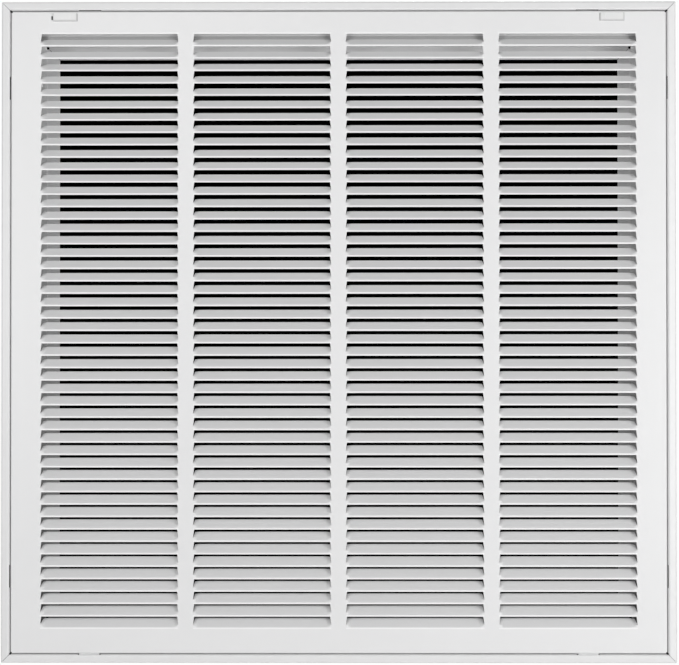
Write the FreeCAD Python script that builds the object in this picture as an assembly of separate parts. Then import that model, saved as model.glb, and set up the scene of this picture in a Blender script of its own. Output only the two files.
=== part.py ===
import FreeCAD, Part
import math
import os

# Return air filter grille: a mitred frame of four folded rails, set in a duct opening, and a
# louvered door that is hooked to the bottom rail and held by two slide latches at the top.
# Millimetres. X runs to the right and Z up as seen from the room, and the front faces -Y.
# The origin is the centre of the duct opening, in the plane of the wall.

# Frame
frame_width = 673.0
frame_height = 659.4
frame_corner_radius = 2.0
mitre_gap = 0.3

# Rail section
rail_sheet = 0.9
rail_bend = 1.0
rail_width = 8.5
rail_proud = 10.8
neck_inset = 35.0
neck_depth = 27.0
lip_width = 14.1
lip_relief_radius = 1.5
lip_relief_inset = 0.9

# Windows near both ends of every rail
window_offset = 76.2
side_window_offset = 74.2
window_length = 23.2
window_depth = 5.1
window_setback = 1.0

# Keeper clips on the top rail, which the latches slide behind
keeper_sheet = 1.0
keeper_bend = 0.6
keeper_foot = 6.0
keeper_stand = 2.9
keeper_lip = 8.5
keeper_inset = 1.0

# Screw holes in the side walls of the neck
screw_hole_radius = 2.4
screw_hole_depth = 9.8
screw_hole_inset = 79.2

# Corner keys in the hollow behind the rails' faces
key_sheet = 1.5
key_width = 4.6
key_leg = 45.0

# Door
door_gap = 1.1
door_recess = 0.4
door_sheet = 0.8
door_bend = 0.6
door_seat_gap = 0.3

# Louvers: each strip of sheet is cut free along its top, and turned back about its foot
columns = 4
bar_width = 14.5
side_margin = 29.5
top_margin = 22.6
bottom_margin = 23.5
row_pitch = 12.36
land_height = 1.5
louver_angle = 47.4
end_foot = 3.95
end_draw = 4.6
cut_lean = 1.15
tip_lean = 2.9

# Latches
tab_length = 24.4
tab_height = 7.9
tab_thickness = 1.6
tab_ramp = 5.0
tab_end_thickness = 0.7
tab_round = 0.5
tab_to_window = 0.2
tab_to_edge = 2.0
stem_length = 5.0
stem_height = 3.6
stem_inset = 0.3
stem_drop = 0.6
stem_play = 0.1
snap_reach = 0.5
snap_thickness = 0.8
slot_clearance = 0.15
latch_travel = 17.0
left_slot_extra = 1.7
slide_clearance = 0.3
slide_wall = 1.7
slide_web = 2.0
slide_height = 10.5
slide_inset = 0.8
tongue_wall = 2.0
keeper_clearance = 1.5

# Hinge hooks
hook_sheet = 1.0
hook_bend = 0.6
hook_width = 20.0
hook_setback = 1.6
hook_leg = 6.6
hook_reach = 0.5
hook_clearance = 0.2

# Derived sizes
rail_turn = rail_bend + rail_sheet
wall_x = frame_width / 2 - rail_width
wall_z = frame_height / 2 - rail_width
door_x = wall_x - door_gap
door_z = wall_z - door_gap
door_front = door_recess - rail_proud
door_back = door_front + door_sheet
door_turn = door_bend + door_sheet
door_seat = -rail_sheet - door_seat_gap
window_front = window_setback - rail_proud
window_back = window_front + window_depth
window_outer = frame_width / 2 - window_offset
window_inner = window_outer - window_length
row_count = int((2 * door_z - top_margin - bottom_margin) / row_pitch)
louver_length = (2 * (door_x - side_margin) - (columns - 1) * bar_width) / columns
column_pitch = louver_length + bar_width
tab_inner = window_outer + tab_to_window
tab_outer = tab_inner + tab_length
tab_top = door_z - tab_to_edge
stem_outer = tab_outer - stem_inset
stem_z = tab_top - tab_height / 2 - stem_drop
slide_front = door_back + slide_clearance
slide_bottom = tab_top - slide_height
keeper_back = -rail_sheet - keeper_stand
tongue_front = keeper_back + slide_clearance

FRONTWARD = FreeCAD.Vector(0, -1, 0)
BACKWARD = FreeCAD.Vector(0, 1, 0)
CENTRE = FreeCAD.Vector(0, 0, 0)


def box(low, high):
    size = [b - a for a, b in zip(low, high)]
    return Part.makeBox(size[0], size[1], size[2], FreeCAD.Vector(*low))


def flat_face(points):
    return Part.Face(Part.makePolygon(points + [points[0]]))


def mirror_x(shape):
    return shape.mirror(CENTRE, FreeCAD.Vector(1, 0, 0))


# Folded sheet
def rounded_run(corners, radii, place):
    """Edges of an open line through the corners, with each bend rounded to its radius."""
    edges = []
    start = corners[0]
    for index, radius in enumerate(radii):
        before, corner, after = corners[index:index + 3]
        into = (corner - before).normalize()
        out = (after - corner).normalize()
        turn = into.getAngle(out)
        run = radius * math.tan(turn / 2)
        inwards = (out - into).normalize()
        middle = corner + inwards * (radius / math.cos(turn / 2) - radius)
        bend_start = corner - into * run
        bend_end = corner + out * run
        if (bend_start - start).Length > 0.001:
            edges.append(Part.makeLine(place(start), place(bend_start)))
        edges.append(Part.Arc(place(bend_start), place(middle), place(bend_end)).toShape())
        start = bend_end
    edges.append(Part.makeLine(place(start), place(corners[-1])))
    return edges


def folded_section(path, sheet, bend, place):
    """Section of a folded sheet: its shown side follows the path, the metal lies to the right."""
    shown = [FreeCAD.Vector(u, v, 0) for u, v in path]
    runs = [(b - a).normalize() for a, b in zip(shown, shown[1:])]
    rights = [FreeCAD.Vector(run.y, -run.x, 0) for run in runs]
    hidden = [shown[0] + rights[0] * sheet]
    shown_radii = []
    hidden_radii = []
    for corner, first, second, run in zip(shown[1:], rights, rights[1:], runs[1:]):
        hidden.append(corner + (first + second) * (sheet / (1 + first.dot(second))))
        turns_right = first.dot(run) > 0
        shown_radii.append(bend + sheet if turns_right else bend)
        hidden_radii.append(bend if turns_right else bend + sheet)
    hidden.append(shown[-1] + rights[-1] * sheet)
    edges = rounded_run(shown, shown_radii, place)
    edges.append(Part.makeLine(place(shown[-1]), place(hidden[-1])))
    edges += rounded_run(hidden, hidden_radii, place)[::-1]
    edges.append(Part.makeLine(place(hidden[0]), place(shown[0])))
    return Part.Face(Part.Wire(edges))


# Frame rails, all made as the top rail lies and then turned to their side
def rail_blank(length, reach):
    """The folded rail, straight and square at its ends, with its outer edge at height reach."""
    lip_front = rail_sheet - neck_depth
    neck_inner = neck_inset + rail_sheet
    path = [
        (0, 0),
        (0, rail_proud),
        (rail_width, rail_proud),
        (rail_width, rail_sheet),
        (neck_inner, rail_sheet),
        (neck_inner, lip_front),
        (neck_inset + lip_width, lip_front),
    ]

    def place(point):
        return FreeCAD.Vector(-length / 2, -point.y, reach - point.x)

    section = folded_section(path, rail_sheet, rail_bend, place)
    return section.extrude(FreeCAD.Vector(length, 0, 0))


def mitre_block(length, reach):
    """What is left of a rail between its two 45 degree cuts."""
    cut = mitre_gap / math.sqrt(2)
    drop = neck_inset + lip_width + 1
    top = length / 2 - cut
    corners = [(-top, reach), (top, reach), (top - drop, reach - drop), (drop - top, reach - drop)]
    points = [FreeCAD.Vector(x, -rail_proud - 1, z) for x, z in corners]
    return flat_face(points).extrude(BACKWARD * (rail_proud + neck_depth + 2))


def rounded_outline():
    """The frame's outline with its four corners rounded, deeper than the frame."""
    low = (-frame_width / 2, -rail_proud - 1, -frame_height / 2)
    high = (frame_width / 2, neck_depth + 1, frame_height / 2)
    block = box(low, high)
    corners = [edge for edge in block.Edges if abs(edge.tangentAt(edge.FirstParameter).y) > 0.9]
    return block.makeFillet(frame_corner_radius, corners)


def window_cut(length, reach, offset):
    """The window in the rail's inner wall, near the right-hand end."""
    wall = reach - rail_width
    right = length / 2 - offset
    low = (right - window_length, window_front, wall - 1)
    high = (right, window_back, wall + rail_turn + 0.5)
    return box(low, high)


def lip_relief(length, reach):
    """The round relief where the lips of two rails meet at the corner of the neck."""
    inset = neck_inset + rail_sheet + lip_relief_inset
    start = FreeCAD.Vector(length / 2 - inset, neck_depth - rail_sheet - 1, reach - inset)
    return Part.makeCylinder(lip_relief_radius, rail_sheet + 2, start, BACKWARD)


def rail(length, reach, offset):
    cuts = [window_cut(length, reach, offset), lip_relief(length, reach)]
    cuts += [mirror_x(cut) for cut in cuts]
    return rail_blank(length, reach).cut(cuts).common(mitre_block(length, reach))


def top_rail():
    return rail(frame_width, frame_height / 2, window_offset).common(rounded_outline())


def bottom_rail():
    turned = rail(frame_width, frame_height / 2, window_offset)
    turned.rotate(CENTRE, BACKWARD, 180)
    return turned.common(rounded_outline())


def right_rail():
    """A side rail, with the screw holes through the side wall of the neck."""
    turned = rail(frame_height, frame_width / 2, side_window_offset)
    turned.rotate(CENTRE, BACKWARD, 90)
    holes = []
    for side in (-1, 1):
        height = side * (frame_height / 2 - screw_hole_inset)
        start = FreeCAD.Vector(frame_width / 2 - neck_inset - 5, screw_hole_depth, height)
        holes.append(Part.makeCylinder(screw_hole_radius, 10, start, FreeCAD.Vector(1, 0, 0)))
    return turned.cut(holes).common(rounded_outline())


def corner_key():
    """An L of flat steel in the hollow of the top and right rails, against the backs of their faces."""
    near = (rail_width - key_width) / 2
    far = near + key_width
    x = frame_width / 2
    z = frame_height / 2
    corners = [
        (x - near, z - near),
        (x - near, z - key_leg),
        (x - far, z - key_leg),
        (x - far, z - far),
        (x - key_leg, z - far),
        (x - key_leg, z - near),
    ]
    points = [FreeCAD.Vector(a, rail_sheet - rail_proud, b) for a, b in corners]
    return flat_face(points).extrude(BACKWARD * key_sheet)


def keeper_clip():
    """A folded strip on the step of the top rail, with its lip standing up off the step, at the right."""
    riser = slide_bottom - keeper_clearance
    path = [
        (rail_sheet, riser - keeper_foot),
        (rail_sheet, riser),
        (-keeper_back, riser),
        (-keeper_back, riser + keeper_lip),
    ]
    inner = window_inner + keeper_inset

    def place(point):
        return FreeCAD.Vector(inner, -point.x, point.y)

    section = folded_section(path, keeper_sheet, keeper_bend, place)
    return section.extrude(FreeCAD.Vector(window_outer - keeper_inset - inner, 0, 0))


# Door
def louver_end(middle, foot, side):
    """Points of one end of a louver, by name: those of the front and those of the back."""
    slope = math.radians(louver_angle)
    along = FreeCAD.Vector(0, math.sin(slope), math.cos(slope))
    through = FreeCAD.Vector(0, math.cos(slope), -math.sin(slope)) * door_sheet
    half = louver_length / 2
    cut_top = FreeCAD.Vector(middle + side * (half - cut_lean), door_front, foot + row_pitch)
    cut_foot = FreeCAD.Vector(middle + side * half, door_front, foot + end_foot)
    bend = FreeCAD.Vector(middle + side * (half - end_draw), door_front, foot + land_height)
    drawn = bend + along * (end_foot - land_height)
    tip_side = middle + side * (half - tip_lean)
    tip = FreeCAD.Vector(tip_side, bend.y, bend.z) + along * (row_pitch - land_height)
    front = {"cut_top": cut_top, "cut_foot": cut_foot, "bend": bend, "drawn": drawn, "tip": tip}
    back = {
        "cut_top": cut_top + BACKWARD * door_sheet,
        "cut_foot": cut_foot + BACKWARD * door_sheet,
        "bend": bend + FreeCAD.Vector(0, door_sheet, -door_sheet * math.tan(slope / 2)),
        "drawn": drawn + through,
        "tip": tip + through,
    }
    return front, back


def louver_skin(middle, foot):
    """Faces of one louver, and the outlines of its cut in the front and back of the sheet."""
    left = louver_end(middle, foot, -1)
    right = louver_end(middle, foot, 1)
    faces = []
    outlines = []
    for a, b in zip(left, right):
        faces.append(flat_face([a["bend"], a["drawn"], a["tip"], b["tip"], b["drawn"], b["bend"]]))
        rim = [a["bend"], a["cut_foot"], a["cut_top"], b["cut_top"], b["cut_foot"], b["bend"]]
        outlines.append(Part.makePolygon(rim + [rim[0]]))
        for end in (a, b):
            faces.append(flat_face([end["bend"], end["drawn"], end["cut_foot"]]))
            faces.append(flat_face([end["drawn"], end["tip"], end["cut_foot"]]))
    for name in ("tip", "cut_top"):
        faces.append(flat_face([left[0][name], right[0][name], right[1][name], left[1][name]]))
    for front, back in (left, right):
        faces.append(flat_face([front["cut_foot"], front["tip"], back["tip"]]))
        faces.append(flat_face([front["cut_foot"], back["tip"], back["cut_foot"]]))
        faces.append(flat_face([front["cut_foot"], front["cut_top"], back["cut_top"], back["cut_foot"]]))
    return faces, outlines


def louvered_sheet():
    """The flat of the door with every louver, closed into one solid."""
    half_x = door_x - door_turn
    half_z = door_z - door_turn
    faces = []
    fronts = []
    backs = []
    for y, outlines in ((door_front, fronts), (door_back, backs)):
        corners = [(-half_x, -half_z), (half_x, -half_z), (half_x, half_z), (-half_x, half_z)]
        points = [FreeCAD.Vector(x, y, z) for x, z in corners]
        outlines.append(Part.makePolygon(points + [points[0]]))
    for column in range(columns):
        middle = (column - (columns - 1) / 2) * column_pitch
        for row in range(row_count):
            foot = door_z - top_margin - (row + 1) * row_pitch
            skin, (front, back) = louver_skin(middle, foot)
            faces += skin
            fronts.append(front)
            backs.append(back)
    for edge in fronts[0].Edges:
        faces.append(edge.extrude(BACKWARD * door_sheet))
    faces.append(Part.Face(fronts))
    faces.append(Part.Face(backs))
    skin = Part.makeCompound(faces)
    skin.sewShape()
    solid = Part.makeSolid(skin.Shells[0])
    if solid.Volume < 0:
        solid.reverse()
    return solid


def door_return(length, edge):
    """The folded edge of the door, made as the top one lies, with its outer face at height edge."""
    path = [(0, 0), (door_turn, 0), (door_turn, door_front - door_seat)]

    def place(point):
        return FreeCAD.Vector(-length / 2, door_front - point.y, edge - door_turn + point.x)

    section = folded_section(path, door_sheet, door_bend, place)
    return section.extrude(FreeCAD.Vector(length, 0, 0))


def hook_slot():
    """The slot in the bottom return that the hinge hook passes through, at the right."""
    centre = (window_inner + window_outer) / 2
    half = hook_width / 2 + hook_clearance
    front = door_front + hook_setback
    low = (centre - half, front - hook_clearance, -door_z - 1)
    high = (centre + half, front + hook_sheet + hook_bend + hook_clearance, door_turn - door_z)
    return box(low, high)


def door_returns():
    """The four folded edges, which stop short of each other at the corners."""
    span_x = 2 * (door_x - door_turn)
    span_z = 2 * (door_z - door_turn)
    top = door_return(span_x, door_z)
    bottom = door_return(span_x, door_z)
    bottom.rotate(CENTRE, BACKWARD, 180)
    bottom = bottom.cut([hook_slot(), mirror_x(hook_slot())])
    right = door_return(span_z, door_x)
    right.rotate(CENTRE, BACKWARD, 90)
    return [top, bottom, right, mirror_x(right)]


def stem_slot(extra):
    """The slot that the latch's stem slides in, at the right."""
    inner = stem_outer - stem_length - latch_travel - stem_play
    half = stem_height / 2 + slot_clearance
    low = (inner, door_front - 1, stem_z - half)
    high = (stem_outer + stem_play + extra, door_back + 1, stem_z + half)
    return box(low, high)


def door_face():
    slots = [stem_slot(0), mirror_x(stem_slot(left_slot_extra))]
    return louvered_sheet().cut(slots).fuse(door_returns())


def hinge_hook():
    """A folded strip on the bottom return, whose leg goes down through the window, at the right."""
    centre = (window_inner + window_outer) / 2
    top = door_sheet + hook_sheet - door_z
    front = door_front + hook_setback
    tip = -wall_z - rail_sheet - hook_reach
    path = [(-front - hook_leg, top), (-front, top), (-front, tip)]

    def place(point):
        return FreeCAD.Vector(centre - hook_width / 2, -point.x, point.y)

    section = folded_section(path, hook_sheet, hook_bend, place)
    return section.extrude(FreeCAD.Vector(hook_width, 0, 0))


# Latches, made for the right-hand side
def thumb_tab():
    """The moulded tab on the face, ramped at its inner end, with the stem that snaps into the slide."""
    outline = [
        (tab_inner, 0),
        (tab_inner, tab_end_thickness),
        (tab_inner + tab_ramp, tab_thickness),
        (tab_outer, tab_thickness),
        (tab_outer, 0),
    ]
    points = [FreeCAD.Vector(x, door_front - y, tab_top - tab_height) for x, y in outline]
    plate = flat_face(points).extrude(FreeCAD.Vector(0, 0, tab_height))
    rims = [edge for edge in plate.Edges if edge.CenterOfMass.y < door_front - tab_end_thickness]
    plate = plate.makeChamfer(tab_round, rims)
    half = stem_height / 2
    stem_back = slide_front + slide_wall
    head_back = stem_back + snap_thickness
    stem_inner = stem_outer - stem_length
    stem = box((stem_inner, door_front, stem_z - half), (stem_outer, head_back, stem_z + half))
    low = (stem_inner, stem_back, stem_z - half - snap_reach)
    head = box(low, (stem_outer, head_back, stem_z + half + snap_reach))
    return plate.fuse([stem, head])


def latch_slide():
    """The moulded channel behind the face, whose rear leg is the tongue behind the keeper clip."""
    front = -slide_front
    tongue = -tongue_front
    web = tab_top - slide_web
    outline = [
        (front, slide_bottom),
        (front, tab_top),
        (tongue - tongue_wall, tab_top),
        (tongue - tongue_wall, slide_bottom),
        (tongue, slide_bottom),
        (tongue, web),
        (front - slide_wall, web),
        (front - slide_wall, slide_bottom),
    ]
    inner = tab_inner + slide_inset
    points = [FreeCAD.Vector(inner, -v, z) for v, z in outline]
    channel = flat_face(points).extrude(FreeCAD.Vector(tab_outer - inner, 0, 0))
    half = stem_height / 2
    low = (stem_outer - stem_length, slide_front - 1, stem_z - half)
    socket = box(low, (stem_outer, slide_front + slide_wall, stem_z + half))
    return channel.cut(socket)


def save(shape, node):
    solids = shape.Solids
    if len(solids) == 1:
        shape = solids[0]
    shape.exportStep(os.path.join("parts", node + ".step"))


def main():
    os.makedirs("parts", exist_ok=True)
    side = right_rail()
    save(top_rail(), "top_rail")
    save(bottom_rail(), "bottom_rail")
    save(side, "right_rail")
    save(mirror_x(side), "left_rail")
    key = corner_key()
    lowered = key.mirror(CENTRE, FreeCAD.Vector(0, 0, 1))
    save(key, "corner_key_top_right")
    save(mirror_x(key), "corner_key_top_left")
    save(lowered, "corner_key_bottom_right")
    save(mirror_x(lowered), "corner_key_bottom_left")
    save(door_face(), "door_face")
    pairs = [
        (keeper_clip, "keeper_clip"),
        (hinge_hook, "hinge_hook"),
        (thumb_tab, "thumb_tab"),
        (latch_slide, "latch_slide"),
    ]
    for make, name in pairs:
        piece = make()
        save(piece, name + "_right")
        save(mirror_x(piece), name + "_left")


main()
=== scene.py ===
import math

import bmesh
import bpy
from mathutils import Matrix, Vector


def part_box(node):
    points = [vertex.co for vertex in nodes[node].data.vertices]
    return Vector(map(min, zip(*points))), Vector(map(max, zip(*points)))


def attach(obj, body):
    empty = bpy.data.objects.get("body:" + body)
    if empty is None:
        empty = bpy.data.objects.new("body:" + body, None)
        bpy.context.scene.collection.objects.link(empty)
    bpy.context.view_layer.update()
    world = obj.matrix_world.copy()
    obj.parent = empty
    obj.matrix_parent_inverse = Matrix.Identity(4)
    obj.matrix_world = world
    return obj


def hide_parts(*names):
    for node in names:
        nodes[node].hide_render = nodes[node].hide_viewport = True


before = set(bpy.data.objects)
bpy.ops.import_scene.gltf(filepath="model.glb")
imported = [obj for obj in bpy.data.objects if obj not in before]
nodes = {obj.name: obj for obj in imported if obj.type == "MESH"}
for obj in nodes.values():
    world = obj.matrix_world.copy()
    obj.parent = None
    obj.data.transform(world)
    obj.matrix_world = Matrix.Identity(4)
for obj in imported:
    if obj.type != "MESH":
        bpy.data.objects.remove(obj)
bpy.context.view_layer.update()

MM = 0.001
door_low, door_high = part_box("door_face")
tab_low, tab_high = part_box("thumb_tab_right")

# Door sheet, as in the solids
SHEET = 0.8 * MM
FOLD = 1.4 * MM
COLUMNS = 4
ROWS = 48
BAR = 14.5 * MM
SIDE_MARGIN = 29.5 * MM
TOP_MARGIN = 22.6 * MM
ROW_PITCH = 12.36 * MM
LAND = 1.5 * MM
TURN = math.radians(47.4)
END_FOOT = 3.95 * MM
END_DRAW = 4.6 * MM
CUT_LEAN = 1.15 * MM

# Forms of the louvers and tabs that are finer than those of the solids
BLADE_LEAN = 1.3 * MM
END_DROOP = 0.3 * MM
BEND = 0.5 * MM
END_CURVE = 1.15
TAB_ROUND = 0.35 * MM

# Latches and hooks, as in the solids
SLOT_INNER = 262.5 * MM
SLOT_OUTER = 284.7 * MM
LEFT_SLOT_OUTER = 286.8 * MM
SLOT_LOW = 311.6 * MM
SLOT_HIGH = 315.5 * MM
HOOK_INNER = 238.5 * MM
HOOK_OUTER = 258.9 * MM
HOOK_BACK = 3.4 * MM
TAB_RAMP = 5.0 * MM
TAB_RAMP_DROP = 0.9 * MM
STEM = Vector((5.0, 2.8, 3.6)) * MM
SNAP_HEAD = Vector((5.0, 0.8, 4.6)) * MM
STEM_INSET = 0.3 * MM

# Corner of the frame's step, how far inside it the painted shade of the open notch lies, and how far
# outside the ridge
STEP_X = 328.0 * MM
STEP_Z = 321.2 * MM
NOTCH = 0.6 * MM
RIDGE = 1.8 * MM

# Painted shade on the neck, darker low down, and painted shadow on the ledge over its top and behind
# the open end of the left slot
NECK_DEPTHS = (2.0 * MM, 6.0 * MM)
NECK_END = 300.0 * MM
LINE_HEIGHTS = (293.6, 294.0, 297.4, 298.0)
LINE_DEPTHS = (-3.0, -2.0, 2.0, 3.0)
SPOT_X = -289.0 * MM
SPOT_Z = 316.9 * MM
SPOT_RADII = (4.4 * MM, 3.0 * MM)
SPOT_DEPTHS = (-3.0, -2.0, -0.6, -0.3)

# Places in the door that follow from its sizes
flat_x = door_high.x - FOLD
flat_z = door_high.z - FOLD
door_depth = door_high.y - door_low.y
louver_half = (2 * (door_high.x - SIDE_MARGIN) - (COLUMNS - 1) * BAR) / COLUMNS / 2
column_pitch = 2 * louver_half + BAR
centres = [(column - (COLUMNS - 1) / 2) * column_pitch for column in range(COLUMNS)]
first_cut = door_high.z - TOP_MARGIN
feet = [first_cut - (row + 1) * ROW_PITCH for row in range(ROWS)]


# Shader graphs
class Socket:
    """An output of a shader node that takes part in sums like a number."""

    def __init__(self, graph, output):
        self.graph = graph
        self.output = output

    def __add__(self, other):
        return self.graph.math("ADD", self, other)

    def __radd__(self, other):
        return self.graph.math("ADD", other, self)

    def __sub__(self, other):
        return self.graph.math("SUBTRACT", self, other)

    def __rsub__(self, other):
        return self.graph.math("SUBTRACT", other, self)

    def __mul__(self, other):
        return self.graph.math("MULTIPLY", self, other)

    def __rmul__(self, other):
        return self.graph.math("MULTIPLY", other, self)

    def __abs__(self):
        return self.graph.math("ABSOLUTE", self)


class Graph:
    """The node tree of one material or world."""

    def __init__(self, owner):
        owner.use_nodes = True
        self.tree = owner.node_tree
        self.tree.nodes.clear()

    def add(self, kind, settings=None, inputs=None, output=0):
        """Adds a node of a kind, with its settings and the values or links of its sockets."""
        node = self.tree.nodes.new(kind)
        for name, value in (settings or {}).items():
            setattr(node, name, value)
        for name, value in (inputs or {}).items():
            self.put(node.inputs[name], value)
        return Socket(self, node.outputs[output])

    def put(self, entry, value):
        if isinstance(value, Socket):
            self.tree.links.new(value.output, entry)
        else:
            entry.default_value = value

    def math(self, operation, first, second=0.0):
        return self.add("ShaderNodeMath", {"operation": operation}, {0: first, 1: second})

    def least(self, first, second):
        return self.math("MINIMUM", first, second)

    def most(self, first, second):
        return self.math("MAXIMUM", first, second)

    def length(self, across, up):
        """The length of a way that goes so far across and so far up."""
        return self.math("SQRT", across * across + up * up)

    def noise(self, place, scale, detail):
        values = {"Vector": place, "Scale": scale, "Detail": detail}
        return self.add("ShaderNodeTexNoise", None, values)

    def ramp(self, value, start, end):
        """0 to 1 while a value goes from start to end."""
        values = {"Value": value, "From Min": start, "From Max": end}
        return self.add("ShaderNodeMapRange", None, values)

    def band(self, value, places):
        """Four places in mm: 0 up to the first, 1 from the second to the third, 0 past the last."""
        low, full_low, full_high, high = [place * MM for place in places]
        return self.ramp(value, low, full_low) * self.ramp(value, high, full_high)

    def parts(self, vector):
        """The three numbers of a vector."""
        apart = self.tree.nodes.new("ShaderNodeSeparateXYZ")
        self.put(apart.inputs[0], vector)
        return [Socket(self, output) for output in apart.outputs]

    def close(self, shader, kind="ShaderNodeOutputMaterial"):
        """Gives the tree its output."""
        end = self.tree.nodes.new(kind)
        self.put(end.inputs["Surface"], shader)


def tinted(graph, factor, dark, light):
    """A colour between two, set by a factor."""
    mix = {"data_type": "RGBA"}
    values = {0: factor}
    for entry, colour in ((6, dark), (7, light)):
        values[entry] = colour if isinstance(colour, Socket) else (*colour, 1)
    return graph.add("ShaderNodeMix", mix, values, 2)


# Finishes of the pieces
PAINT = (0.80, 0.80, 0.803)
MOULDED_WHITE = (0.79, 0.79, 0.79)
# Painted highlight on the lands between the louvers
LAND_HIGHLIGHT = (0.90, 0.90, 0.90)
# Painted shade: the paint darkened inside the neck and on the ledge over it
NECK_SHADE_GREY = tuple(channel * 0.12 for channel in PAINT)
# Painted shade in the seams between two rails
SEAM_SHADE = (0.1, 0.1, 0.1)
# Painted shade of the open notch at each corner of the step
NOTCH_SHADE = (0.012, 0.012, 0.012)
# Painted shade along a tab's edges
EDGE_SHADE_GREY = (0.3, 0.3, 0.3)
PEEL_HEIGHT = 0.2 * MM


def neck_shade(graph, place, shade):
    """Painted shade on the neck, darker low down, a painted shadow line over its top and a painted
    shadow spot on the ledge.
    """
    across, behind, up = graph.parts(place)
    neck = graph.ramp(behind, *NECK_DEPTHS) * graph.ramp(up, NECK_END, -NECK_END)
    line = graph.band(up, LINE_HEIGHTS) * graph.band(behind, LINE_DEPTHS)
    far = graph.length(across - SPOT_X, up - SPOT_Z)
    spot = graph.ramp(far, *SPOT_RADII) * graph.band(behind, SPOT_DEPTHS)
    return tinted(graph, neck * 0.8 + line * 0.6 + spot * 0.95, shade, NECK_SHADE_GREY)


def past_step(graph, place):
    """How far a point of a rail lies outside the corner of the step, across and up."""
    across, _, up = graph.parts(place)
    return abs(across) - STEP_X, abs(up) - STEP_Z


def corner_shade(graph, place, shade):
    """Painted shade of the open notch at the foot of the step, and painted shade in the seam between
    two rails.
    """
    side, end = past_step(graph, place)
    seam = graph.ramp(abs(side - end), 0.7 * MM, 0.3 * MM)
    seam = seam * graph.ramp(graph.most(side, end), 0.0, 0.5 * MM)
    shade = tinted(graph, seam * 0.55, shade, SEAM_SHADE)
    far = graph.length(side + NOTCH, end + NOTCH)
    return tinted(graph, graph.ramp(far, 1.1 * MM, 0.7 * MM), shade, NOTCH_SHADE)


def rail_crown(graph, place):
    """Height of a rail's face: a ridge beside the door and a fall from there to the outer edge."""
    out = graph.most(*past_step(graph, place))
    past = graph.most(out - RIDGE, 0.0)
    short = graph.most(RIDGE - out, 0.0)
    return 0.0 - past * 0.13 - short * 0.14


def land_highlight(graph, place, shade):
    """A painted highlight on the narrow lands between the louvers: their colour made a little lighter.
    """
    across, behind, up = graph.parts(place)
    rise = graph.math("FRACT", (up - feet[-1]) * (1 / ROW_PITCH)) * ROW_PITCH
    from_bar = graph.math("PINGPONG", across, column_pitch / 2)
    field_edge = 2 * column_pitch - BAR / 2
    soft = 0.2 * MM
    land = graph.ramp(rise, LAND + 0.045 * MM, LAND - 0.079 * MM)
    land = land * graph.ramp(up, feet[-1] - 2 * soft, feet[-1] - soft)
    land = land * graph.ramp(up, first_cut + LAND + soft, first_cut + LAND)
    land = land * graph.ramp(from_bar, BAR / 2 - 0.15 * MM, BAR / 2 + 0.35 * MM)
    land = land * graph.ramp(abs(across), field_edge + soft, field_edge - soft)
    land = land * graph.ramp(behind, door_low.y + 3 * soft, door_low.y + soft)
    return tinted(graph, land, shade, LAND_HIGHLIGHT)


def tab_edge_shade(graph, place, shade):
    """Painted shade along the edges of a tab's plate, at its lower side and its two ends."""
    across, behind, up = graph.parts(place)
    inner = graph.ramp(abs(across) - tab_low.x, 1.8 * MM, 0.5 * MM)
    inside = graph.least(tab_high.x - abs(across), up - tab_low.z)
    line = graph.most(graph.ramp(inside, 1.7 * MM, 0.4 * MM) * 0.42, inner * 0.68)
    line = line * graph.ramp(behind, door_low.y + 0.2 * MM, door_low.y)
    return tinted(graph, line, shade, EDGE_SHADE_GREY)


def enamel(name, colour, roughness, peel=0.06, painted_light_marks=(), crown=None):
    """Baked enamel or moulded plastic: faint tone and gloss changes, a fine peel, and the painted
    shade and painted highlights that are passed in.
    """
    material = bpy.data.materials.new(name)
    graph = Graph(material)
    place = graph.add("ShaderNodeTexCoord", output="Object")
    cloud = graph.noise(place, 9.0, 3.0)
    grain = graph.noise(place, 900.0, 2.0)
    tone = 0.012
    dark = [channel * (1 - tone) for channel in colour]
    light = [channel * (1 + tone) for channel in colour]
    shade = tinted(graph, cloud, dark, light)
    for light_mark in painted_light_marks:
        shade = light_mark(graph, place, shade)
    gloss = roughness - 0.05 + cloud * 0.07 + grain * 0.03
    height = (grain + cloud * 0.5) * (peel * PEEL_HEIGHT)
    if crown:
        height = height + crown(graph, place)
    bump = {"Strength": 1.0, "Distance": 1.0, "Height": height}
    normal = graph.add("ShaderNodeBump", None, bump)
    values = {"Base Color": shade, "Roughness": gloss, "Normal": normal, "IOR": 1.5}
    graph.close(graph.add("ShaderNodeBsdfPrincipled", None, values))
    return material


def zinc(name):
    """Zinc-coated steel: brushed along X, with the faint mottle of the coating."""
    material = bpy.data.materials.new(name)
    graph = Graph(material)
    place = graph.add("ShaderNodeTexCoord", output="Object")
    stretched = graph.add("ShaderNodeMapping", None, {"Vector": place, "Scale": (60, 900, 900)})
    brushed = graph.noise(stretched, 1.0, 2.0)
    mottle = graph.noise(place, 260.0, 2.0)
    shade = tinted(graph, mottle, (0.44, 0.45, 0.46), (0.62, 0.63, 0.65))
    bump = {"Strength": 0.15, "Distance": 0.1 * MM, "Height": brushed}
    normal = graph.add("ShaderNodeBump", None, bump)
    values = {
        "Base Color": shade,
        "Metallic": 1.0,
        "Roughness": 0.32 + brushed * 0.16,
        "Normal": normal,
    }
    graph.close(graph.add("ShaderNodeBsdfPrincipled", None, values))
    return material


frame_paint = enamel("frame enamel", PAINT, 0.42, painted_light_marks=(neck_shade, corner_shade), crown=rail_crown)
door_paint = enamel("door enamel", PAINT, 0.42, painted_light_marks=(land_highlight,))
tab_plastic = enamel("tab plastic", MOULDED_WHITE, 0.40, peel=0.03, painted_light_marks=(tab_edge_shade,))
key_steel = zinc("zinc sheet")


# Meshes
def settle(piece):
    """Applies a piece's modifiers to its mesh."""
    graph = bpy.context.evaluated_depsgraph_get()
    mesh = bpy.data.meshes.new_from_object(piece.evaluated_get(graph))
    piece.modifiers.clear()
    piece.data = mesh


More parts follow.
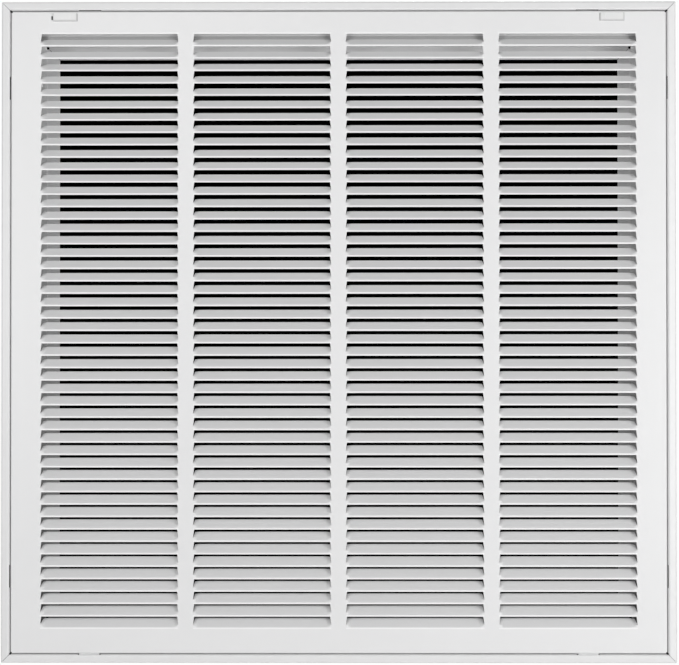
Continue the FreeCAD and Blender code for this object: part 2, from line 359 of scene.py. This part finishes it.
def finish_mesh(bm, name, material, body, replaced, sheet=0.0, smooth_angle=40.0):
    """Makes a piece from a bmesh, thickened if it is a sheet, with smooth bends and sharp edges."""
    mesh = bpy.data.meshes.new(name)
    if not sheet:
        bmesh.ops.recalc_face_normals(bm, faces=bm.faces)
    bm.to_mesh(mesh)
    bm.free()
    piece = bpy.data.objects.new(name, mesh)
    bpy.context.scene.collection.objects.link(piece)
    if sheet:
        shell = piece.modifiers.new("shell", "SOLIDIFY")
        shell.thickness = sheet
        shell.offset = -1
        shell.use_even_offset = False
        shell.use_rim = True
        settle(piece)
    bm = bmesh.new()
    bm.from_mesh(piece.data)
    for face in bm.faces:
        face.smooth = True
    for edge in bm.edges:
        edge.smooth = edge.calc_face_angle(0) < math.radians(smooth_angle)
    bm.to_mesh(piece.data)
    bm.free()
    even = piece.modifiers.new("even", "WEIGHTED_NORMAL")
    even.keep_sharp = True
    settle(piece)
    piece.data.materials.clear()
    piece.data.materials.append(material)
    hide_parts(replaced)
    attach(piece, body)


# Folds of the door's sheet
BEND_STEPS = 4
quarter_bend = FOLD * math.pi / 2


def folded_place(place, flat):
    """Where a point of the flat blank lies once the blank's edge is folded back: across and behind."""
    side = math.copysign(1, place)
    past = abs(place) - flat
    if past <= 0:
        return place, 0.0
    if past < quarter_bend:
        angle = past / FOLD
        return side * (flat + FOLD * math.sin(angle)), FOLD * (1 - math.cos(angle))
    return side * (flat + FOLD), min(FOLD + past - quarter_bend, door_depth)


def return_line(flat, depth):
    """The place on the flat blank that the fold brings to a depth behind the door's front."""
    return flat + quarter_bend + depth - FOLD


def fold_lines(flat):
    """Places on the flat blank for its bend, the hook windows' edge and the end of the return."""
    bend = [flat + quarter_bend * step / BEND_STEPS for step in range(BEND_STEPS + 1)]
    return bend + [return_line(flat, HOOK_BACK), return_line(flat, door_depth)]


# Louvers of the door's sheet
END_STEPS = [step * MM for step in (0.0, 0.55, 1.25, 2.1, 3.1, 4.1, 5.0)]
RISE_STEPS = [step * MM for step in (1.0, 1.33, 1.67, 2.0, 2.9, 3.95, 5.1, 6.5, 8.3, 10.3)]


def blade_profile(rise):
    """Depth and height, over its own foot, of the middle of a louver at that rise of the blank."""
    reach = rise - LAND
    if reach <= -BEND:
        return 0.0, rise
    radius = 2 * BEND / TURN
    if reach < BEND:
        angle = TURN * (reach + BEND) / (2 * BEND)
        return radius * (1 - math.cos(angle)), LAND - BEND + radius * math.sin(angle)
    past = reach - BEND
    depth = radius * (1 - math.cos(TURN)) + past * math.sin(TURN)
    return depth, LAND - BEND + radius * math.sin(TURN) + past * math.cos(TURN)


def cut_lift(rise):
    """How far up the side cut of a louver a point of the blank is, from 0 to 1."""
    return max(0.0, (rise - END_FOOT) / (ROW_PITCH - END_FOOT))


def near_end(offset):
    """How far into the drawn end of a louver a point is, from 0 to 1."""
    return max(0.0, (abs(offset) - louver_half + END_DRAW) / END_DRAW)


def pressed_point(offset, rise):
    """Where a point of a louver goes when it is pressed: its offset, depth and height."""
    depth, height = blade_profile(rise)
    tip_depth, tip_height = blade_profile(ROW_PITCH)
    near = near_end(offset)
    share = near * near * (3 - 2 * near)
    lift = cut_lift(rise)
    edge_depth = tip_depth * lift ** END_CURVE
    edge_height = rise if lift == 0 else END_FOOT + (tip_height - END_DROOP - END_FOOT) * lift
    depth += (edge_depth - depth) * share
    height += (edge_height - height) * share
    outer_half = max(0.0, abs(offset) - louver_half / 2) / (louver_half / 2)
    return offset - math.copysign(BLADE_LEAN * lift * outer_half, offset), depth, height


class Blank:
    """The door's flat blank: a grid with a line wherever a fold, a cut or a slot needs one."""

    def __init__(self, across, up):
        self.across = sorted({round(place, 6) for place in across})
        self.up = sorted({round(place, 6) for place in up})
        columns = len(self.across) - 1
        rows = len(self.up) - 1
        self.bm = bmesh.new()
        bmesh.ops.create_grid(self.bm, x_segments=columns, y_segments=rows, size=1)
        self.column_of = self.bm.verts.layers.int.new("across")
        self.row_of = self.bm.verts.layers.int.new("up")
        for vert in self.bm.verts:
            vert[self.column_of] = round((vert.co.x + 1) / 2 * columns)
            vert[self.row_of] = round((vert.co.y + 1) / 2 * rows)

    def spot(self, vert):
        """The grid lines, across and up, that meet at a vertex."""
        return vert[self.column_of], vert[self.row_of]

    def cell(self, part):
        """The lowest grid lines, across and up, that a face or an edge touches."""
        spots = [self.spot(vert) for vert in part.verts]
        return min(column for column, _ in spots), min(row for _, row in spots)

    def column_at(self, place):
        return min(range(len(self.across)), key=lambda line: abs(self.across[line] - place))

    def row_at(self, place):
        return min(range(len(self.up)), key=lambda line: abs(self.up[line] - place))

    def columns(self, start, end):
        return range(self.column_at(start), self.column_at(end))

    def rows(self, start, end):
        return range(self.row_at(start), self.row_at(end))


class Louver:
    """One louver: its middle and its foot on the blank, and the grid lines that bound it."""

    def __init__(self, blank, centre, foot):
        self.centre = centre
        self.foot = foot
        self.columns = blank.columns(centre - louver_half, centre + louver_half)
        self.rows = blank.rows(foot, foot + ROW_PITCH)
        self.cut_rows = blank.rows(foot + END_FOOT, foot + ROW_PITCH)
        self.ends = (self.columns.start, self.columns.stop)
        self.top = self.rows.stop


def lines_across():
    """Places across the blank where its grid needs a line."""
    edges = [SLOT_INNER, SLOT_OUTER, LEFT_SLOT_OUTER, HOOK_INNER, HOOK_OUTER]
    lines = []
    for place in fold_lines(flat_x) + edges:
        lines += [place, -place]
    for centre in centres:
        for step in END_STEPS:
            lines += [centre - louver_half + step, centre + louver_half - step]
    return lines


def lines_up():
    """Places up the blank where its grid needs a line."""
    lines = [SLOT_LOW, SLOT_HIGH, first_cut]
    for place in fold_lines(flat_z):
        lines += [place, -place]
    for foot in feet:
        lines += [foot] + [foot + step for step in RISE_STEPS]
    return lines


def cut_open(blank):
    """Takes the notches at the corners, the latch slots and the hook windows out of the blank."""
    flat_columns = blank.columns(-flat_x, flat_x)
    flat_rows = blank.rows(-flat_z, flat_z)
    slot_rows = blank.rows(SLOT_LOW, SLOT_HIGH)
    slots = [*blank.columns(SLOT_INNER, SLOT_OUTER), *blank.columns(-LEFT_SLOT_OUTER, -SLOT_INNER)]
    hook_row = blank.row_at(-return_line(flat_z, HOOK_BACK))
    hooks = [*blank.columns(HOOK_INNER, HOOK_OUTER), *blank.columns(-HOOK_OUTER, -HOOK_INNER)]
    removed = []
    for face in blank.bm.faces:
        column, row = blank.cell(face)
        corner = column not in flat_columns and row not in flat_rows
        slot = row in slot_rows and column in slots
        hook = row == hook_row and column in hooks
        if corner or slot or hook:
            removed.append(face)
    bmesh.ops.delete(blank.bm, geom=removed, context="FACES")


def lance(blank, louvers):
    """Cuts every louver free along its top and up its two sides."""
    side_cuts = set()
    top_cuts = set()
    for louver in louvers:
        side_cuts |= {(end, row) for end in louver.ends for row in louver.cut_rows}
        top_cuts |= {(column, louver.top) for column in louver.columns}
    cuts = []
    for edge in blank.bm.edges:
        first, second = [blank.spot(vert) for vert in edge.verts]
        upright = first[0] == second[0]
        if blank.cell(edge) in (side_cuts if upright else top_cuts):
            cuts.append(edge)
    bmesh.ops.split_edges(blank.bm, edges=cuts)


def press(blank, louvers):
    """Turns the louvers back, leans their side cuts and folds the blank's edges."""
    blades = {}
    rims = {}
    for louver in louvers:
        for column in louver.columns:
            rims[(column, louver.top)] = louver
            for row in louver.rows:
                blades[(column, row)] = louver
        for end in louver.ends:
            rims[(end, louver.top)] = louver
            for row in louver.cut_rows:
                rims[(end, row)] = louver
    pressed = {}
    for face in blank.bm.faces:
        louver = blades.get(blank.cell(face))
        if louver:
            for vert in face.verts:
                pressed[vert] = louver
    for vert in blank.bm.verts:
        column, row = blank.spot(vert)
        x = blank.across[column]
        z = blank.up[row]
        louver = pressed.get(vert)
        if louver and row > louver.rows.start:
            offset, back, height = pressed_point(x - louver.centre, z - louver.foot)
            vert.co = (louver.centre + offset, door_low.y + back, louver.foot + height)
            continue
        louver = rims.get((column, row))
        if louver:
            offset = x - louver.centre
            lean = CUT_LEAN * cut_lift(z - louver.foot) * near_end(offset)
            x -= math.copysign(lean, offset)
        x, back_x = folded_place(x, flat_x)
        z, back_z = folded_place(z, flat_z)
        vert.co = (x, door_low.y + back_x + back_z, z)


def door_sheet():
    """The door: one sheet with its slots cut, its louvers lanced and pressed and its edges folded."""
    blank = Blank(lines_across(), lines_up())
    louvers = [Louver(blank, centre, foot) for centre in centres for foot in feet]
    cut_open(blank)
    lance(blank, louvers)
    press(blank, louvers)
    bm = blank.bm
    bm.normal_update()
    largest = max(bm.faces, key=lambda face: face.calc_area())
    if largest.normal.y > 0:
        bmesh.ops.reverse_faces(bm, faces=bm.faces)
    finish_mesh(bm, "door_sheet", door_paint, "door", "door_face", SHEET)


# Latch tabs
def block(bm, size, middle):
    """Adds a block of that size round a middle."""
    made = bmesh.ops.create_cube(bm, size=1)["verts"]
    bmesh.ops.scale(bm, vec=size, verts=made)
    bmesh.ops.translate(bm, vec=middle, verts=made)


def upright_corner(edge):
    """Whether an edge is a corner of the plate that runs from its front to its back."""
    first, second = edge.verts
    return abs(first.co.y - second.co.y) > 0.5 * MM and edge.calc_face_angle(0) > 1


def thumb_tab(side, label):
    """The moulded tab, with a ramp at its inner end, its stem and its snap head."""
    low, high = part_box("thumb_tab_" + label)
    inner, outer = (low.x, high.x) if side > 0 else (-high.x, -low.x)
    front = low.y
    face = door_low.y
    hair = 0.01 * MM
    bm = bmesh.new()
    size = Vector((outer - inner, face - front, high.z - low.z))
    block(bm, size, Vector(((inner + outer) / 2, (face + front) / 2, (low.z + high.z) / 2)))
    ramp = inner + TAB_RAMP
    parts = bm.verts[:] + bm.edges[:] + bm.faces[:]
    bmesh.ops.bisect_plane(bm, geom=parts, dist=1e-7, plane_co=(ramp, 0, 0), plane_no=(1, 0, 0))
    low_end = [vert for vert in bm.verts if vert.co.x < ramp - hair and vert.co.y < front + hair]
    bmesh.ops.translate(bm, vec=(0, TAB_RAMP_DROP, 0), verts=low_end)
    rims = []
    for edge in bm.edges:
        if upright_corner(edge) or all(vert.co.y < face - hair for vert in edge.verts):
            rims.append(edge)
    bmesh.ops.bevel(
        bm, geom=rims, offset=TAB_ROUND, segments=3, profile=0.5, affect="EDGES", material=-1
    )
    stem_x = outer - STEM_INSET - STEM.x / 2
    stem_z = (SLOT_LOW + SLOT_HIGH) / 2
    block(bm, STEM, Vector((stem_x, face + STEM.y / 2, stem_z)))
    block(bm, SNAP_HEAD, Vector((stem_x, high.y - SNAP_HEAD.y / 2, stem_z)))
    if side < 0:
        bmesh.ops.scale(bm, vec=(-1, 1, 1), verts=bm.verts)
        bmesh.ops.reverse_faces(bm, faces=bm.faces)
    node = "thumb_tab_" + label
    body = "latch_" + label
    finish_mesh(bm, "tab_" + label, tab_plastic, body, node, smooth_angle=50.0)


door_sheet()
thumb_tab(-1, "left")
thumb_tab(1, "right")

# Pieces that keep the shape of their solids
finishes = (
    (frame_paint, ("top_rail", "bottom_rail", "left_rail", "right_rail")),
    (frame_paint, ("keeper_clip_left", "keeper_clip_right")),
    (key_steel, ("corner_key_top_left", "corner_key_top_right")),
    (key_steel, ("corner_key_bottom_left", "corner_key_bottom_right")),
    (door_paint, ("hinge_hook_left", "hinge_hook_right")),
    (tab_plastic, ("latch_slide_left", "latch_slide_right")),
)
for material, names in finishes:
    for name in names:
        nodes[name].data.materials.clear()
        nodes[name].data.materials.append(material)


# Stage
def plane(name, width, length, location, rotation, material):
    """A flat sheet of the stage."""
    bm = bmesh.new()
    bmesh.ops.create_grid(bm, x_segments=1, y_segments=1, size=0.5)
    bmesh.ops.scale(bm, vec=(width, length, 1), verts=bm.verts)
    mesh = bpy.data.meshes.new(name)
    bm.to_mesh(mesh)
    bm.free()
    mesh.materials.append(material)
    piece = bpy.data.objects.new(name, mesh)
    piece.location = location
    piece.rotation_euler = rotation
    bpy.context.scene.collection.objects.link(piece)


def floor_material():
    """Pale matt paper."""
    material = bpy.data.materials.new("floor")
    graph = Graph(material)
    place = graph.add("ShaderNodeTexCoord", output="Object")
    cloud = graph.noise(place, 3.0, 2.0)
    shade = tinted(graph, cloud, (0.86, 0.86, 0.86), (0.88, 0.88, 0.88))
    values = {"Base Color": shade, "Roughness": 0.8}
    graph.close(graph.add("ShaderNodeBsdfPrincipled", None, values))
    return material


def duct_shade_material():
    """A black sheet that stands for the shade inside the duct: black to the eye, partly clear to
    light, and clear from behind.
    """
    material = bpy.data.materials.new("duct dark")
    graph = Graph(material)
    seen = graph.add("ShaderNodeLightPath", output="Is Camera Ray")
    behind = graph.add("ShaderNodeNewGeometry", output="Backfacing")
    clear = graph.add("ShaderNodeBsdfTransparent")
    black = graph.add("ShaderNodeEmission", None, {"Color": (0, 0, 0, 1), "Strength": 0.0})
    swallowed = 0.65 + seen * 0.35
    values = {0: swallowed * (1 - behind), 1: clear, 2: black}
    graph.close(graph.add("ShaderNodeMixShader", None, values))
    return material


plane("floor", 4.0, 3.0, (0, -0.3, -0.70), (0, 0, 0), floor_material())
upright = (math.radians(90), 0, 0)
dark = duct_shade_material()
plane("duct_dark", 0.605, 0.592, (0, 0.0272, 0), upright, dark)
# Black sheets that stand for the shade inside the hollow rails
for side, name in ((-1, "wall_dark_left"), (1, "wall_dark_right")):
    plane(name, 0.033, 0.654, (side * 0.3182, 0.001, 0), upright, dark)
for side, name in ((1, "wall_dark_top"), (-1, "wall_dark_bottom")):
    plane(name, 0.603, 0.0325, (0, 0.001, side * 0.3109), upright, dark)

# Light: a white surround, dimmer to the matt surfaces than to the eye, and four lamps
world = bpy.data.worlds.new("studio")
bpy.context.scene.world = world
graph = Graph(world)
shown = graph.add("ShaderNodeLightPath", output="Is Camera Ray")
for kind in ("Is Glossy Ray", "Is Transmission Ray"):
    shown = graph.most(shown, graph.add("ShaderNodeLightPath", output=kind))
strength = 0.18 + shown * 0.82
white = graph.add("ShaderNodeBackground", None, {"Color": (1, 1, 1, 1), "Strength": strength})
graph.close(white, "ShaderNodeOutputWorld")


def softbox(name, power, width, height, location):
    """A wide lamp, aimed at the middle of the grille."""
    light = bpy.data.lights.new(name, "AREA")
    light.shape = "RECTANGLE"
    light.size = width
    light.size_y = height
    light.energy = power
    lamp = bpy.data.objects.new(name, light)
    lamp.location = location
    lamp.rotation_euler = (-Vector(location)).to_track_quat("-Z", "Y").to_euler()
    bpy.context.scene.collection.objects.link(lamp)


softbox("right", 15.6, 0.8, 1.2, (1.2, -1.4, 0.0))
softbox("left", 7.2, 0.6, 0.6, (-1.0, -1.5, 0.12))
softbox("high", 4.7, 0.6, 0.5, (-0.45, -1.5, 0.75))
softbox("back", 30.0, 1.4, 0.8, (0.3, 2.0, 1.1))

# Camera, fitted to the outline, the rows and the columns in the picture
PICTURE_WIDTH = 679
FOCAL_PIXELS = 1119.6
SENSOR = 36
EYE = (0.0046, -1.126, -0.00795)
PAN, TILT, ROLL = [math.radians(angle) for angle in (0.185, 0.37, 0.027)]

camera = bpy.data.cameras.new("camera")
camera.sensor_fit = "HORIZONTAL"
camera.sensor_width = SENSOR
camera.lens = FOCAL_PIXELS * SENSOR / PICTURE_WIDTH
camera.clip_end = 50
eye = bpy.data.objects.new("camera", camera)
turn = Matrix.Rotation(PAN, 4, "Z") @ Matrix.Rotation(TILT, 4, "X")
turn = turn @ Matrix.Rotation(ROLL, 4, "Y") @ Matrix.Rotation(math.radians(90), 4, "X")
eye.matrix_world = Matrix.Translation(EYE) @ turn
bpy.context.scene.collection.objects.link(eye)
bpy.context.scene.camera = eye
bpy.context.scene.view_settings.view_transform = "Standard"
